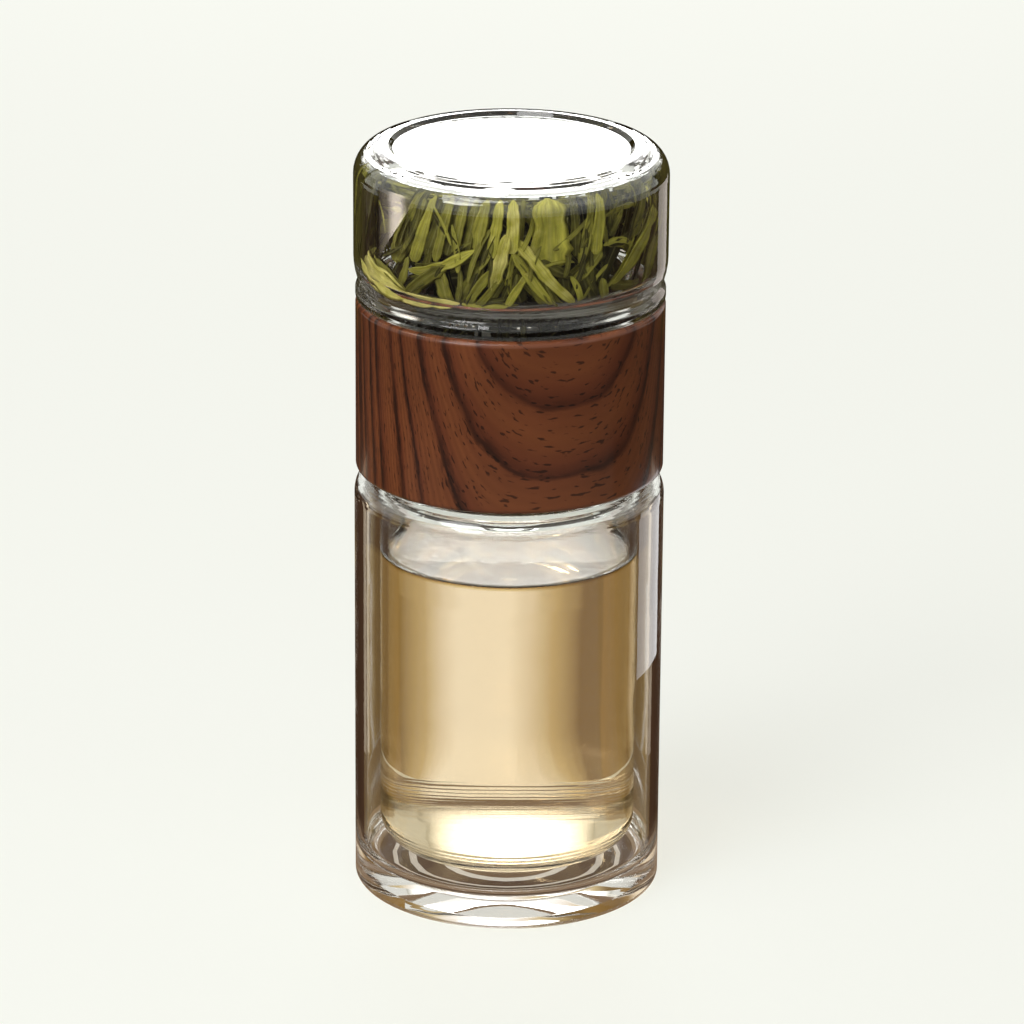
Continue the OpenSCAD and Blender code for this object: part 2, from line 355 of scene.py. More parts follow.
    # broad patches where the wood is redder or darker
    patches = add("TexNoise", {"Vector": turned, "Scale": 1 / look["patchSize"], "Detail": 2.0})
    patch = add("MapRange", {"Value": patches, **noiseSpan, "To Min": 0.74, "To Max": 1.02})
    dark = add("Math", [fine, poreMask], operation="MULTIPLY")
    shade = add("Math", [dark, patch], operation="MULTIPLY")
    colour = add("Mix", {
        "Factor": 1.0, 6: lined.outputs[2], 7: shade}, data_type="RGBA", blend_type="MULTIPLY")
    rough = add("MapRange", {"Value": dark, "To Min": 0.42, "To Max": 0.3})
    bump = add("Bump", {"Height": dark, "Strength": 0.25, "Distance": 0.06 * mm})
    wood = add("BsdfPrincipled", {
        "Base Color": colour.outputs[2], "Roughness": rough, "IOR": 1.5, "Specular IOR Level": 0.15,
        "Normal": bump, "Coat Weight": 0.35, "Coat Roughness": 0.12})
    add("OutputMaterial", {"Surface": wood})
    return material


woodFinish = woodMaterial(woodGrain)


def grainedMaterial(name, look, shader):
    # one even material with a fine grain in its colour, its gloss and, where it has any, its relief
    material, add = newMaterial(name)
    coords = add("TexCoord")
    sized = add("Mapping", {
        "Vector": coords.outputs["Object"], "Scale": [1 / (size * mm) for size in look["grain"]]})
    grain = add("TexNoise", {"Vector": sized, "Scale": 1.0, "Detail": look["detail"]})
    colour = add("ValToRGB", [grain])
    fillRamp(colour, zip((0.3, 0.7), look["shades"]))
    rough = add("MapRange", {"Value": grain, "To Min": look["roughness"][0], "To Max": look["roughness"][1]})
    if "relief" in look:
        bump = add("Bump", {"Height": grain, "Strength": 0.3, "Distance": look["relief"] * mm})
        shader = {**shader, "Normal": bump}
    surface = add("BsdfPrincipled", {"Base Color": colour, "Roughness": rough, **shader})
    add("OutputMaterial", {"Surface": surface})
    return material


# moulded polypropylene, dark brown with a fine matt grain
coreFinish = grainedMaterial("mouldedPolypropylene", {
    "grain": (0.5, 0.5, 0.5), "detail": 2.0, "shades": ("#38221A", "#45291F"), "roughness": (0.38, 0.55),
    "relief": 0.02}, {"IOR": 1.49})
# food-grade silicone: milky and soft, dust-matt on the surface
siliconeFinish = grainedMaterial("milkySilicone", {
    "grain": (6, 6, 6), "detail": 3.0, "shades": ("#DAD9D2", "#E8E7E1"), "roughness": (0.5, 0.65)},
    {"IOR": 1.41, "Subsurface Weight": 0.2, "Subsurface Radius": (0.002, 0.002, 0.002)})
# stainless sheet, pressed and tumbled: bright with soft rolling lines
steelFinish = grainedMaterial("stainlessSheet", {
    "grain": (8, 0.3, 0.3), "detail": 3.0, "shades": ("#B9B8B3", "#CFCECA"), "roughness": (0.22, 0.4)},
    {"Metallic": 1.0})

leafLook = {"mottleSize": 3.0, "veins": (5.0, 1.5, 1.0), "ribWidth": 0.2, "rimFrom": 0.72}


def leafMaterial(look):
    # pan-fired green tea: flat dry leaves from olive to yellow-green, paler along the midrib
    material, add = newMaterial("panFiredLeaf")
    tone, along, across = [add("Attribute", attribute_name=name).outputs["Fac"]
                           for name in ("leafTone", "leafAlong", "leafAcross")]
    coords = add("TexCoord")
    mottle = add("TexNoise", {
        "Vector": coords.outputs["Object"], "Scale": 1 / (look["mottleSize"] * mm), "Detail": 4.0})
    tint = add("Math", [mottle, 0.5, tone], operation="MULTIPLY_ADD")
    tinted = add("Math", [tint, 0.25], operation="SUBTRACT")
    colour = add("ValToRGB", [tinted])
    fillRamp(colour, [
        (0.0, "#0E0D07"), (0.3, "#3E3B16"), (0.55, "#6A6628"), (0.8, "#98933A"), (1.0, "#CABF74")])
    # fine veins run along the leaf, with a pale midrib in its middle, partly a painted highlight along the
    # fold, and darker towards the edges
    veinSpace = add("CombineXYZ", [across, along])
    veinScaled = add("Mapping", {"Vector": veinSpace, "Scale": look["veins"]})
    veins = add("TexNoise", {"Vector": veinScaled, "Scale": 1.0, "Detail": 2.0})
    veinShade = add("MapRange", {"Value": veins, **noiseSpan, "To Min": 0.6, "To Max": 1.25})
    veined = add("Mix", {"Factor": 1.0, 6: colour, 7: veinShade}, data_type="RGBA", blend_type="MULTIPLY")
    middle = add("Math", [across], operation="ABSOLUTE")
    # pale midrib, partly a painted highlight on the fold's ridge
    midribAndHighlight = add("MapRange", {
        "Value": middle, "From Min": 0.0, "From Max": look["ribWidth"], "To Min": 0.12, "To Max": 0.0})
    rim = add("MapRange", {
        "Value": middle, "From Min": look["rimFrom"], "From Max": 1.0, "To Min": 0.0, "To Max": 0.25})
    for share, shade in ((midribAndHighlight, "#CFC880"), (rim, "#2E2812")):
        veined = add("Mix", {"Factor": share, 6: veined.outputs[2], 7: linear(shade)}, data_type="RGBA")
    bump = add("Bump", {"Height": veins, "Strength": 0.4, "Distance": 0.1 * mm})
    leaf = add("BsdfPrincipled", {
        "Base Color": veined.outputs[2], "Roughness": 0.6, "IOR": 1.45, "Specular IOR Level": 0.15,
        "Normal": bump})
    add("OutputMaterial", {"Surface": leaf})
    return material


leafFinish = leafMaterial(leafLook)
print("materials ready")

# Threads on the necks and in the sockets

thread = {
    "pitch": 4.0, "starts": 2, "height": 0.9, "fade": 1.6, "half": (0.1, 0.28), "step": 0.3, "touch": 0.02}


def newTree(name, numbers):
    # a geometry tree that takes a mesh, some numbers and a material, with addNode for it and its inputs
    tree = bpy.data.node_groups.new(name, "GeometryNodeTree")
    sockets = {"Geometry": "Geometry", **{number: "Float" for number in numbers}, "Material": "Material"}
    for label, kind in sockets.items():
        tree.interface.new_socket(label, in_out="INPUT", socket_type="NodeSocket" + kind)
    tree.interface.new_socket("Geometry", in_out="OUTPUT", socket_type="NodeSocketGeometry")
    add = partial(addNode, tree)
    return tree, add, add("NodeGroupInput").outputs


def endTree(add, geometry, material):
    solid = add("GeometryNodeRealizeInstances", [geometry])
    finished = add("GeometryNodeSetMaterial", {"Geometry": solid, "Material": material})
    add("NodeGroupOutput", [finished])


def threadTree():
    # pushes a plain neck or socket wall in or out along a helix
    tree, add, given = newTree("screwThread", ("Radius", "Low", "High", "Height", "Phase"))
    place = add("GeometryNodeInputPosition")
    x, y, z = add("SeparateXYZ", [place]).outputs
    flat = add("CombineXYZ", [x, y])
    radius = add("VectorMath", [flat], operation="LENGTH").outputs["Value"]
    outward = add("VectorMath", [flat], operation="NORMALIZE")
    offWall = add("Math", [radius, given["Radius"]], operation="SUBTRACT")
    onWall = add("Math", [offWall, 0.0, thread["touch"] * mm], operation="COMPARE")
    angle = add("Math", [y, x], operation="ARCTAN2")
    turns = add("Math", [angle, thread["starts"] / (2 * math.pi)], operation="MULTIPLY")
    rise = add("Math", [z, thread["pitch"] * mm], operation="DIVIDE")
    helix = add("Math", [rise, turns], operation="SUBTRACT")
    shifted = add("Math", [helix, given["Phase"]], operation="ADD")
    part = add("Math", [shifted], operation="FRACT")
    centred = add("Math", [part, 0.5], operation="SUBTRACT")
    distance = add("Math", [centred], operation="ABSOLUTE")
    ridge = add("MapRange", {
        "Value": distance, "From Min": thread["half"][0], "From Max": thread["half"][1],
        "To Min": 1.0, "To Max": 0.0}, interpolation_type="SMOOTHSTEP")
    aboveLow = add("Math", [z, given["Low"]], operation="SUBTRACT")
    belowHigh = add("Math", [given["High"], z], operation="SUBTRACT")
    nearest = add("Math", [aboveLow, belowHigh], operation="MINIMUM")
    fade = add("MapRange", {
        "Value": nearest, "From Min": 0.0, "From Max": thread["fade"] * mm}, interpolation_type="SMOOTHSTEP")
    height = ridge
    for share in (fade, onWall, given["Height"]):
        height = add("Math", [height, share], operation="MULTIPLY")
    push = add("VectorMath", {0: outward, "Scale": height}, operation="SCALE")
    moved = add("GeometryNodeSetPosition", {"Geometry": given["Geometry"], "Offset": push})
    endTree(add, moved, given["Material"])
    return tree


def grown(mesh, tree, values):
    # runs a geometry tree on a mesh and gives the result back as a plain mesh
    holder = bpy.data.objects.new("holder", mesh)
    scene.collection.objects.link(holder)
    modifier = holder.modifiers.new("grow", "NODES")
    modifier.node_group = tree
    sockets = {item.name: item.identifier for item in tree.interface.items_tree if item.in_out == "INPUT"}
    for name, value in values.items():
        modifier[sockets[name]] = value
    bpy.context.view_layer.update()
    evaluated = holder.evaluated_get(bpy.context.evaluated_depsgraph_get())
    result = bpy.data.meshes.new_from_object(evaluated)
    result.name = mesh.name
    holder.modifiers.remove(modifier)
    bpy.data.objects.remove(holder)
    return result


screwThread = threadTree()


def threaded(mesh, radius, span, finish, inward=False):
    # a ridge on a neck, or on a socket's wall between the ridges of its neck
    return grown(mesh, screwThread, {
        "Radius": radius * mm, "Low": span[0] * mm, "High": span[1] * mm,
        "Height": (-1 if inward else 1) * thread["height"] * mm, "Phase": 0.5 if inward else 0.0,
        "Material": finish})


# Bottle: both walls and the lip are one piece of glass round a sealed air space

bottle = {
    "outerWall": 2.0, "shoulderTop": 93.7, "shoulder": 5.6, "baseThick": 6.3, "baseEdge": 1.2,
    "baseCorner": 4.0, "footWidth": 8.8, "puntDepth": 1.4, "puntSlope": 9.0, "puntBend": 10.0,
    "vesselWall": 1.6, "vesselFloor": 2.2, "vesselCorner": 6.0, "vesselTop": 89.5, "vesselShoulder": 3.0,
    "neckRadius": 26.5, "neckWall": 1.6, "neckGap": 0.8, "lipEdge": 1.0, "neckRoot": 0.8, "soft": 0.4,
    "threadSpan": (97.0, 105.8)}
bottleRadius = nodeRadius("outer_glass")
lipTop = nodeHeights("outer_glass")[1]
vesselRadius = nodeRadius("inner_glass")
vesselBottom, weldHeight = nodeHeights("inner_glass")
vesselWall = bottle["vesselWall"]
vesselInside = vesselRadius - vesselWall
vesselFloorTop = vesselBottom + bottle["vesselFloor"]
vesselCeiling = bottle["vesselTop"] - vesselWall
neckRadius = bottle["neckRadius"]
neckInside = neckRadius - bottle["neckWall"]
throatRadius = neckInside - bottle["neckGap"]
mouthRadius = throatRadius - vesselWall
puntRadius = bottleRadius - bottle["baseEdge"] - bottle["footWidth"]
outerInside = bottleRadius - bottle["outerWall"]
outerCeiling = bottle["shoulderTop"] - bottle["outerWall"]
soft = bottle["soft"]

bottleSkin = roundedOutline([
    (0, bottle["puntDepth"], 0),
    (puntRadius - bottle["puntSlope"], bottle["puntDepth"], bottle["puntBend"]),
    (puntRadius, 0, soft),
    (bottleRadius, 0, bottle["baseEdge"]),
    (bottleRadius, bottle["shoulderTop"], bottle["shoulder"]),
    (neckRadius, bottle["shoulderTop"], bottle["neckRoot"]),
    (neckRadius, lipTop, bottle["lipEdge"]),
    (mouthRadius, lipTop, bottle["lipEdge"]),
    (mouthRadius, vesselCeiling, soft + vesselWall),
    (vesselInside, vesselCeiling, bottle["vesselShoulder"] - vesselWall),
    (vesselInside, vesselFloorTop, bottle["vesselCorner"] - vesselWall),
    (0, vesselFloorTop, 0)])
airSpace = roundedOutline([
    (0, vesselBottom, 0),
    (vesselRadius, vesselBottom, bottle["vesselCorner"]),
    (vesselRadius, bottle["vesselTop"], bottle["vesselShoulder"]),
    (throatRadius, bottle["vesselTop"], soft),
    (throatRadius, weldHeight, soft),
    (neckInside, weldHeight, soft),
    (neckInside, outerCeiling, soft),
    (outerInside, outerCeiling, bottle["shoulder"] - bottle["outerWall"]),
    (outerInside, bottle["baseThick"], bottle["baseCorner"]),
    (0, bottle["baseThick"], 0)])
bottleMesh = turnedMesh("bottleGlass", [heldRows(bottleSkin, neckRadius), heldRows(airSpace)])
bottleMesh = threaded(bottleMesh, neckRadius, bottle["threadSpan"], bottleGlassFinish)
addPiece("bottleGlass", bottleMesh, bottleGlassFinish, "bottle",
         ("outer_glass", "inner_glass"))

# Tea chamber

chamber = {
    "wall": 2.3, "topThick": 3.0, "topEdge": 6.2, "corner": 3.0, "ring": 1.1, "dish": 0.9, "dishSoft": 0.15,
    "beadBottom": 131.5, "beadHeight": 3.3, "groove": 0.8, "beadEdge": 0.9, "lean": 3.7, "leanBend": 15.0,
    "floorThick": 2.6, "floorFall": 0.9, "neckWall": 3.0, "threadSpan": (117.2, 128.6)}
chamberRadius = nodeRadius("tea_chamber")
chamberLip, chamberTop = nodeHeights("tea_chamber")
collarRadius = nodeRadius("collar_sleeve")
chamberInside = chamberRadius - chamber["wall"]
ceiling = chamberTop - chamber["topThick"]
grooveHeight = chamber["beadBottom"] + chamber["beadHeight"]
chamberFloor = grooveHeight + chamber["floorThick"]
chamberBore = neckRadius - chamber["neckWall"]
dishRadius = chamberRadius - chamber["topEdge"] - chamber["ring"]
dishFloor = chamberTop - chamber["dish"]

chamberSkin = roundedOutline([
    (0, ceiling, 0),
    (chamberInside, ceiling, chamber["corner"]),
    (chamberInside, chamberFloor, chamber["corner"]),
    (chamberBore, chamberFloor - chamber["floorFall"], chamber["corner"]),
    (chamberBore, chamberLip, bottle["lipEdge"]),
    (neckRadius, chamberLip, bottle["lipEdge"]),
    (neckRadius, chamber["beadBottom"], bottle["neckRoot"]),
    (collarRadius, chamber["beadBottom"], chamber["beadEdge"]),
    (collarRadius, grooveHeight - chamber["beadEdge"], chamber["beadEdge"]),
    (collarRadius - chamber["groove"], grooveHeight, soft),
    (chamberRadius, grooveHeight + chamber["lean"], chamber["leanBend"]),
    (chamberRadius, chamberTop, chamber["topEdge"]),
    (dishRadius, chamberTop, chamber["dishSoft"]),
    (dishRadius - chamber["dish"], dishFloor, chamber["dishSoft"]),
    (0, dishFloor, 0)])
chamberMesh = turnedMesh("chamberGlass", [heldRows(chamberSkin, neckRadius)])
chamberMesh = threaded(chamberMesh, neckRadius, chamber["threadSpan"], chamberGlassFinish)
addPiece("chamberGlass", chamberMesh, chamberGlassFinish, "chamber", ("tea_chamber",))

# Collar: wood-grain sleeve over a moulded core with a thread in each socket

collar = {
    "sleeveWall": 1.2, "edge": 1.0, "rim": 1.4, "bevel": 0.6, "socketRadius": 27.9, "runningGap": 0.3,
    "flange": 3.5, "soft": 0.4, "crisp": 0.15, "coreEdge": 0.2, "seatEdge": 0.1,
    "threadSpans": ((96.0, 107.2), (116.6, 128.6))}
frameSheet = {"thick": 0.5, "lip": 2.0, "edge": 0.12}
collarBottom, collarTop = nodeHeights("collar_sleeve")
coreRadius = nodeRadius("collar_core")
coreTop = nodeHeights("collar_core")[1]
sleeveInside = collarRadius - collar["sleeveWall"]
socketRadius = collar["socketRadius"]
rimRadius = socketRadius + collar["bevel"]
rimBottom = collarTop - collar["rim"]
cupBottom, strainerTop = nodeHeights("strainer_frame")
flangeRadius = nodeRadius("strainer_frame")
flangeBottom = strainerTop - frameSheet["thick"]
seatRadius = flangeRadius + collar["runningGap"]
cupRadius = flangeRadius - collar["flange"]
webRadius = cupRadius + collar["runningGap"]
webBottom = nodeHeights("lower_seal")[1]
crisp = collar["crisp"]

sleeveMesh = turnedMesh("woodSleeve", [ringRows([
    (sleeveInside, collarBottom, crisp),
    (collarRadius, collarBottom, collar["edge"]),
    (collarRadius, collarTop, collar["edge"]),
    (rimRadius, collarTop, collar["soft"]),
    (rimRadius, rimBottom, crisp),
    (sleeveInside, rimBottom, crisp)])], closed=True)
addPiece("woodSleeve", sleeveMesh, woodFinish, "collar", ("collar_sleeve",))

coreMesh = turnedMesh("collarCore", [ringRows([
    (rimRadius, collarBottom, crisp),
    (coreRadius, collarBottom, collar["coreEdge"]),
    (coreRadius, coreTop, collar["coreEdge"]),
    (rimRadius, coreTop, crisp),
    (socketRadius, coreTop - collar["bevel"], crisp),
    (socketRadius, strainerTop, crisp),
    (seatRadius, strainerTop, crisp),
    (seatRadius, flangeBottom, collar["seatEdge"]),
    (webRadius, flangeBottom, collar["soft"]),
    (webRadius, webBottom, collar["soft"]),
    (socketRadius, webBottom, crisp),
    (socketRadius, collarBottom + collar["bevel"], crisp)], socketRadius)], closed=True)
for span in collar["threadSpans"]:
    coreMesh = threaded(coreMesh, socketRadius, span, coreFinish, inward=True)
addPiece("collarCore", coreMesh, coreFinish, "collar", ("collar_core",))

# Strainer and silicone rings

sheet = frameSheet["thick"]
lipRadius = cupRadius - frameSheet["lip"]
frameMesh = turnedMesh("strainerFrame", [ringRows([
    (lipRadius, cupBottom, frameSheet["edge"]),
    (cupRadius, cupBottom, sheet),
    (cupRadius, flangeBottom, frameSheet["edge"]),
    (flangeRadius, flangeBottom, frameSheet["edge"]),
    (flangeRadius, strainerTop, frameSheet["edge"]),
    (cupRadius - sheet, strainerTop, sheet),
    (cupRadius - sheet, cupBottom + sheet, frameSheet["edge"]),
    (lipRadius, cupBottom + sheet, frameSheet["edge"])])], closed=True)
addPiece("strainerFrame", frameMesh, steelFinish, "collar", ("strainer_frame",))
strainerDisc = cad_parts["strainer_disc"]
strainerDisc.data.materials.clear()
strainerDisc.data.materials.append(steelFinish)

seals = {"soft": 0.4, "skirtWall": 1.3, "skirtGap": 0.3, "skirtRoot": 0.1, "touch": 0.03}
sealRadius = nodeRadius("lower_seal")
lowerMesh = turnedMesh("lowerSeal", [ringRows([
    (mouthRadius, lipTop, seals["soft"]),
    (sealRadius, lipTop, seals["soft"]),
    (sealRadius, webBottom, seals["soft"]),
    (mouthRadius, webBottom, seals["soft"])])], closed=True)
addPiece("lowerSeal", lowerMesh, siliconeFinish, "lower_ring", ("lower_seal",))
skirtRadius = chamberBore - seals["skirtGap"]
skirtInside = skirtRadius - seals["skirtWall"]
skirtTop = nodeHeights("upper_seal")[1]
sealTop = chamberLip - seals["touch"]
upperMesh = turnedMesh("upperSeal", [ringRows([
    (skirtInside, strainerTop, seals["soft"]),
    (sealRadius, strainerTop, seals["soft"]),
    (sealRadius, sealTop, seals["soft"]),
    (skirtRadius, sealTop, seals["skirtRoot"]),
    (skirtRadius, skirtTop, seals["soft"]),
    (skirtInside, skirtTop, seals["soft"])])], closed=True)
addPiece("upperSeal", upperMesh, siliconeFinish, "upper_ring", ("upper_seal",))

# Tea: it reaches a little way into the wall, as it looks through the glass

tea = {"level": 74.2, "creep": 2.0, "creepWidth": 0.9, "creepRows": 18, "crowding": 2.2, "bowl": 1.2,
       "wallOffset": 0.15, "edge": 0.3}
teaRadius = vesselRadius - tea["wallOffset"]
teaBottom = vesselBottom + tea["wallOffset"]
teaOutline = roundedOutline([
    (0, teaBottom, 0),
    (teaRadius, teaBottom, bottle["vesselCorner"] - tea["wallOffset"]),
    (teaRadius, tea["level"] + tea["creep"], tea["edge"]),
    (vesselInside, tea["level"] + tea["creep"], 0),
    (0, tea["level"], 0)])[:-1]
for k in range(1, tea["creepRows"]):
    reach = vesselInside * (1 - (k / tea["creepRows"]) ** tea["crowding"])
    rise = (tea["creep"] - tea["bowl"]) * math.exp((reach - vesselInside) / tea["creepWidth"])
    teaOutline.append(Vector((reach, tea["level"] + rise + tea["bowl"] * (reach / vesselInside) ** 2)))
teaOutline.append(Vector((0, tea["level"])))
addPiece("teaLiquor", turnedMesh("teaLiquor", [heldRows(teaOutline)]), teaFinish, "bottle")

# Tea leaves: each path grows into a folded blade

leaves = {
    "seed": 11, "pathPoints": 14, "length": (10.0, 18.0), "width": (1.8, 3.8), "wallEnds": (0.8, 0.7),
    "margin": 0.4, "frontInset": 0.4, "frontRoom": 3.0, "frontFrom": -6, "floorRoom": 1.5, "ceilingRoom": 0.6,
    "beside": {
        "count": 2, "shift": (1.5, 4.0), "lean": (-3.0, 3.0), "height": (-2, 2), "bow": (-0.4, 0.4),
        "depth": (0.5, 1.4), "width": (0.9, 2.2), "darker": (0.1, 0.5)},
    "slivers": {
        "count": 44, "angles": (-62, 62), "heights": (140, 157), "half": (3.0, 6.5), "steep": (1.3, 0.6),
        "bow": 0.8, "depth": (0.35, 0.9), "width": (0.7, 1.6), "tone": (0.1, 0.75)},
    "lining": {
        "count": 180, "angles": (70, 290), "heights": (140, 156), "half": (5.0, 9.0), "steep": (1.2, 0.5),
        "bow": 1.0, "depth": (0.5, 1.6), "width": (1.8, 4.4), "tone": (0.4, 0.2), "toneEnds": (0.0, 0.9)},
    "filler": {
        "count": 320, "tries": 40000, "reach": 28, "heights": (112, 156), "steep": (0.7, 0.5),
        "sag": (0.5, 3.0), "deepBelow": 150, "tones": (0.05, 0.4), "toneSpread": 0.12,
        "toneEnds": (-0.1, 0.6)},
    "topLayer": {
        "count": 80, "tries": 60000, "reach": 27, "heights": (151, 158), "slope": 0.2, "sag": (-1.5, 1.5),
        "roll": 0.3, "tone": (0.45, 0.15), "toneEnds": (0.15, 0.8)},
    "needle": {"Thickness": 0.22, "Fold": 0.45}, "blade": {"Thickness": 0.1, "Fold": 0.25}, "bladeFrom": 3.4,
    "raggedSize": 2.5, "ragged": (0.75, 1.15), "twistSize": 14, "twist": 0.5}

# blades against the front wall: across and height of both ends in mm, bow to the right of its way,
# width, tone from dark to yellow, depth behind the glass
frontLeaves = [
    (-29.2, 143.0, -20.5, 138.4, 0.4, 5.6, 0.90, 0.5), (-26.5, 144.0, -20.0, 139.0, -0.3, 1.8, 0.55, 0.4),
    (-28.5, 138.8, -10.5, 138.3, 0.3, 2.6, 1.00, 0.5), (-20.5, 144.0, -7.2, 150.5, 1.0, 2.6, 0.80, 0.7),
    (-24.0, 144.5, -18.0, 160.6, 0.5, 5.6, 0.50, 1.5), (-19.6, 146.0, -15.4, 160.4, 0.0, 2.6, 0.66, 0.9),
    (-17.4, 147.5, -13.4, 160.5, 0.3, 2.4, 0.36, 1.3), (-15.3, 147.0, -12.0, 160.5, 0.0, 2.5, 0.58, 0.9),
    (-13.2, 148.5, -10.4, 160.6, 0.2, 2.4, 0.32, 1.4), (-11.4, 149.0, -9.2, 160.6, 0.0, 2.4, 0.52, 0.9),
    (-9.4, 149.5, -7.2, 160.6, 0.2, 2.6, 0.44, 1.5), (-6.8, 150.0, -4.8, 160.7, -0.3, 3.0, 0.62, 1.0),
    (-3.8, 149.0, -2.2, 160.8, 0.0, 2.5, 0.80, 0.7), (0.3, 150.0, 0.4, 160.8, 0.0, 3.0, 0.85, 0.8),
    (8.2, 146.0, 7.6, 160.8, 0.0, 9.0, 0.78, 1.8), (13.4, 148.5, 12.2, 160.7, 0.3, 2.4, 0.36, 1.4),
    (14.0, 147.0, 16.0, 160.7, 0.5, 2.4, 0.62, 1.0), (17.0, 148.5, 17.6, 160.7, 0.0, 3.2, 0.78, 0.7),
    (12.6, 143.5, 18.4, 149.0, 0.4, 2.2, 0.60, 1.0), (20.2, 151.5, 22.2, 160.4, 0.0, 2.6, 0.34, 1.2),
    (18.7, 150.0, 24.6, 147.8, -1.5, 1.4, 0.75, 0.8), (20.3, 141.5, 28.6, 155.0, 0.3, 3.3, 0.66, 0.6),
    (26.3, 139.5, 29.6, 156.0, 0.0, 2.8, 0.52, 0.5), (1.0, 153.0, 13.4, 138.2, 0.6, 2.6, 0.84, 0.6),
    (0.4, 150.0, 9.4, 138.0, 0.5, 2.4, 0.72, 0.9), (5.9, 148.0, 12.6, 144.0, 0.0, 2.4, 0.34, 1.3),
    (3.6, 146.0, -0.8, 138.3, 0.3, 2.0, 0.78, 0.7), (-0.8, 154.0, -3.8, 142.0, 0.0, 3.0, 0.86, 0.6),
    (-3.8, 146.5, -8.9, 138.2, 0.3, 2.4, 0.64, 0.8), (-6.3, 147.0, -10.9, 138.2, 0.2, 2.4, 0.44, 1.1),
    (-2.6, 144.0, -7.0, 138.2, 0.0, 1.9, 0.60, 0.6), (-14.3, 145.0, -12.9, 138.3, 0.0, 4.2, 0.50, 1.2),
    (-20.7, 138.6, -12.5, 146.5, -0.8, 3.2, 0.48, 0.8), (-8.8, 152.0, -6.9, 141.0, 0.0, 4.2, 0.26, 2.2),
    (14.6, 144.0, 16.6, 138.4, 0.0, 4.8, 0.24, 1.2), (18.4, 143.0, 19.4, 138.3, 0.4, 2.4, 0.56, 0.8),
    (20.5, 141.5, 26.9, 139.2, 0.4, 3.4, 0.42, 1.5), (-10.0, 138.4, -0.5, 138.4, 0.0, 1.2, 0.70, 0.5),
    (-17.0, 143.0, -22.0, 138.6, 0.2, 3.6, 0.30, 1.6), (-1.0, 147.0, 2.4, 139.0, 0.0, 3.6, 0.22, 2.0),
    (4.5, 144.0, 7.5, 138.4, 0.2, 3.0, 0.46, 1.4), (22.5, 150.0, 18.0, 140.0, 0.3, 3.4, 0.12, 2.0),
    (10.4, 146.0, 11.8, 138.6, 0.0, 3.2, 0.30, 1.8), (-28.8, 146.0, -27.6, 160.0, 0.0, 3.4, 0.24, 0.6),
    (-29.9, 141.0, -29.6, 155.0, 0.0, 2.6, 0.36, 0.5), (28.6, 146.0, 29.6, 160.4, 0.0, 3.0, 0.28, 0.6),
    (24.4, 150.0, 26.8, 160.4, 0.0, 2.6, 0.45, 0.9)]


def held(value, low, high):
    return min(high, max(low, value))


def roomRadius(z):
    # clear radius inside the chamber at a height, in mm
    corner = chamber["corner"]
    if z < chamberFloor - chamber["floorFall"]:
        return skirtInside
    rise = held(max(chamberFloor + corner - z, z - ceiling + corner), 0.0, corner)  # how far into a corner
    return chamberInside - corner + math.sqrt(corner ** 2 - rise ** 2)


def leafFits(path, width):
    # the front is left to the listed blades
    margin = 0.5 * width + leaves["margin"]
    for p in path:
        room = roomRadius(p.z) - margin - (leaves["frontRoom"] if p.y < leaves["frontFrom"] else 0.0)
        if not cupBottom + leaves["floorRoom"] < p.z < ceiling - leaves["ceilingRoom"]:
            return False
        if math.hypot(p.x, p.y) > room:
            return False
    return True


def bentPath(root, tip, sag):
    # a curve from root to tip that bows by sag
    middle = (root + tip) / 2 + sag
    steps = [k / (leaves["pathPoints"] - 1) for k in range(leaves["pathPoints"])]
    return [root * (1 - t) ** 2 + middle * 2 * t * (1 - t) + tip * t ** 2 for t in steps]


def wallBlade(start, end, bow, depth):
    # path and face of a blade on the inside of the wall, between two points of angle in degrees and height
    root, tip = [Vector((math.radians(a) * chamberInside, h, 0)) for a, h in (start, end)]
    way = (tip - root).normalized()
    lowest, highest = chamberFloor + leaves["wallEnds"][0], ceiling - leaves["wallEnds"][1]
    path = []
    for spot in bentPath(root, tip, Vector((way.y, -way.x, 0)) * 2 * bow):
        height = held(spot.y, lowest, highest)
        radius = roomRadius(height) - depth
        angle = spot.x / chamberInside
        path.append(Vector((radius * math.sin(angle), -radius * math.cos(angle), height)))
    middle = path[len(path) // 2]
    return path, Vector((middle.x, middle.y, 0)).normalized()


def leaningBlade(draw, angle, spec):
    # the same for a blade that leans by chance, with its middle at an angle
    height = draw.uniform(*spec["heights"])
    half = draw.uniform(*spec["half"])
    steep = draw.gauss(*spec["steep"])
    turn = math.degrees(half * math.cos(steep) / chamberInside)
    rise = half * math.sin(steep)
    return wallBlade((angle - turn, height - rise), (angle + turn, height + rise),
                     draw.uniform(-spec["bow"], spec["bow"]), draw.uniform(*spec["depth"]))


def spotInside(draw, spec):
    angle = draw.uniform(0, 2 * math.pi)
    off = spec["reach"] * math.sqrt(draw.random())
    return Vector((off * math.cos(angle), off * math.sin(angle), draw.uniform(*spec["heights"])))


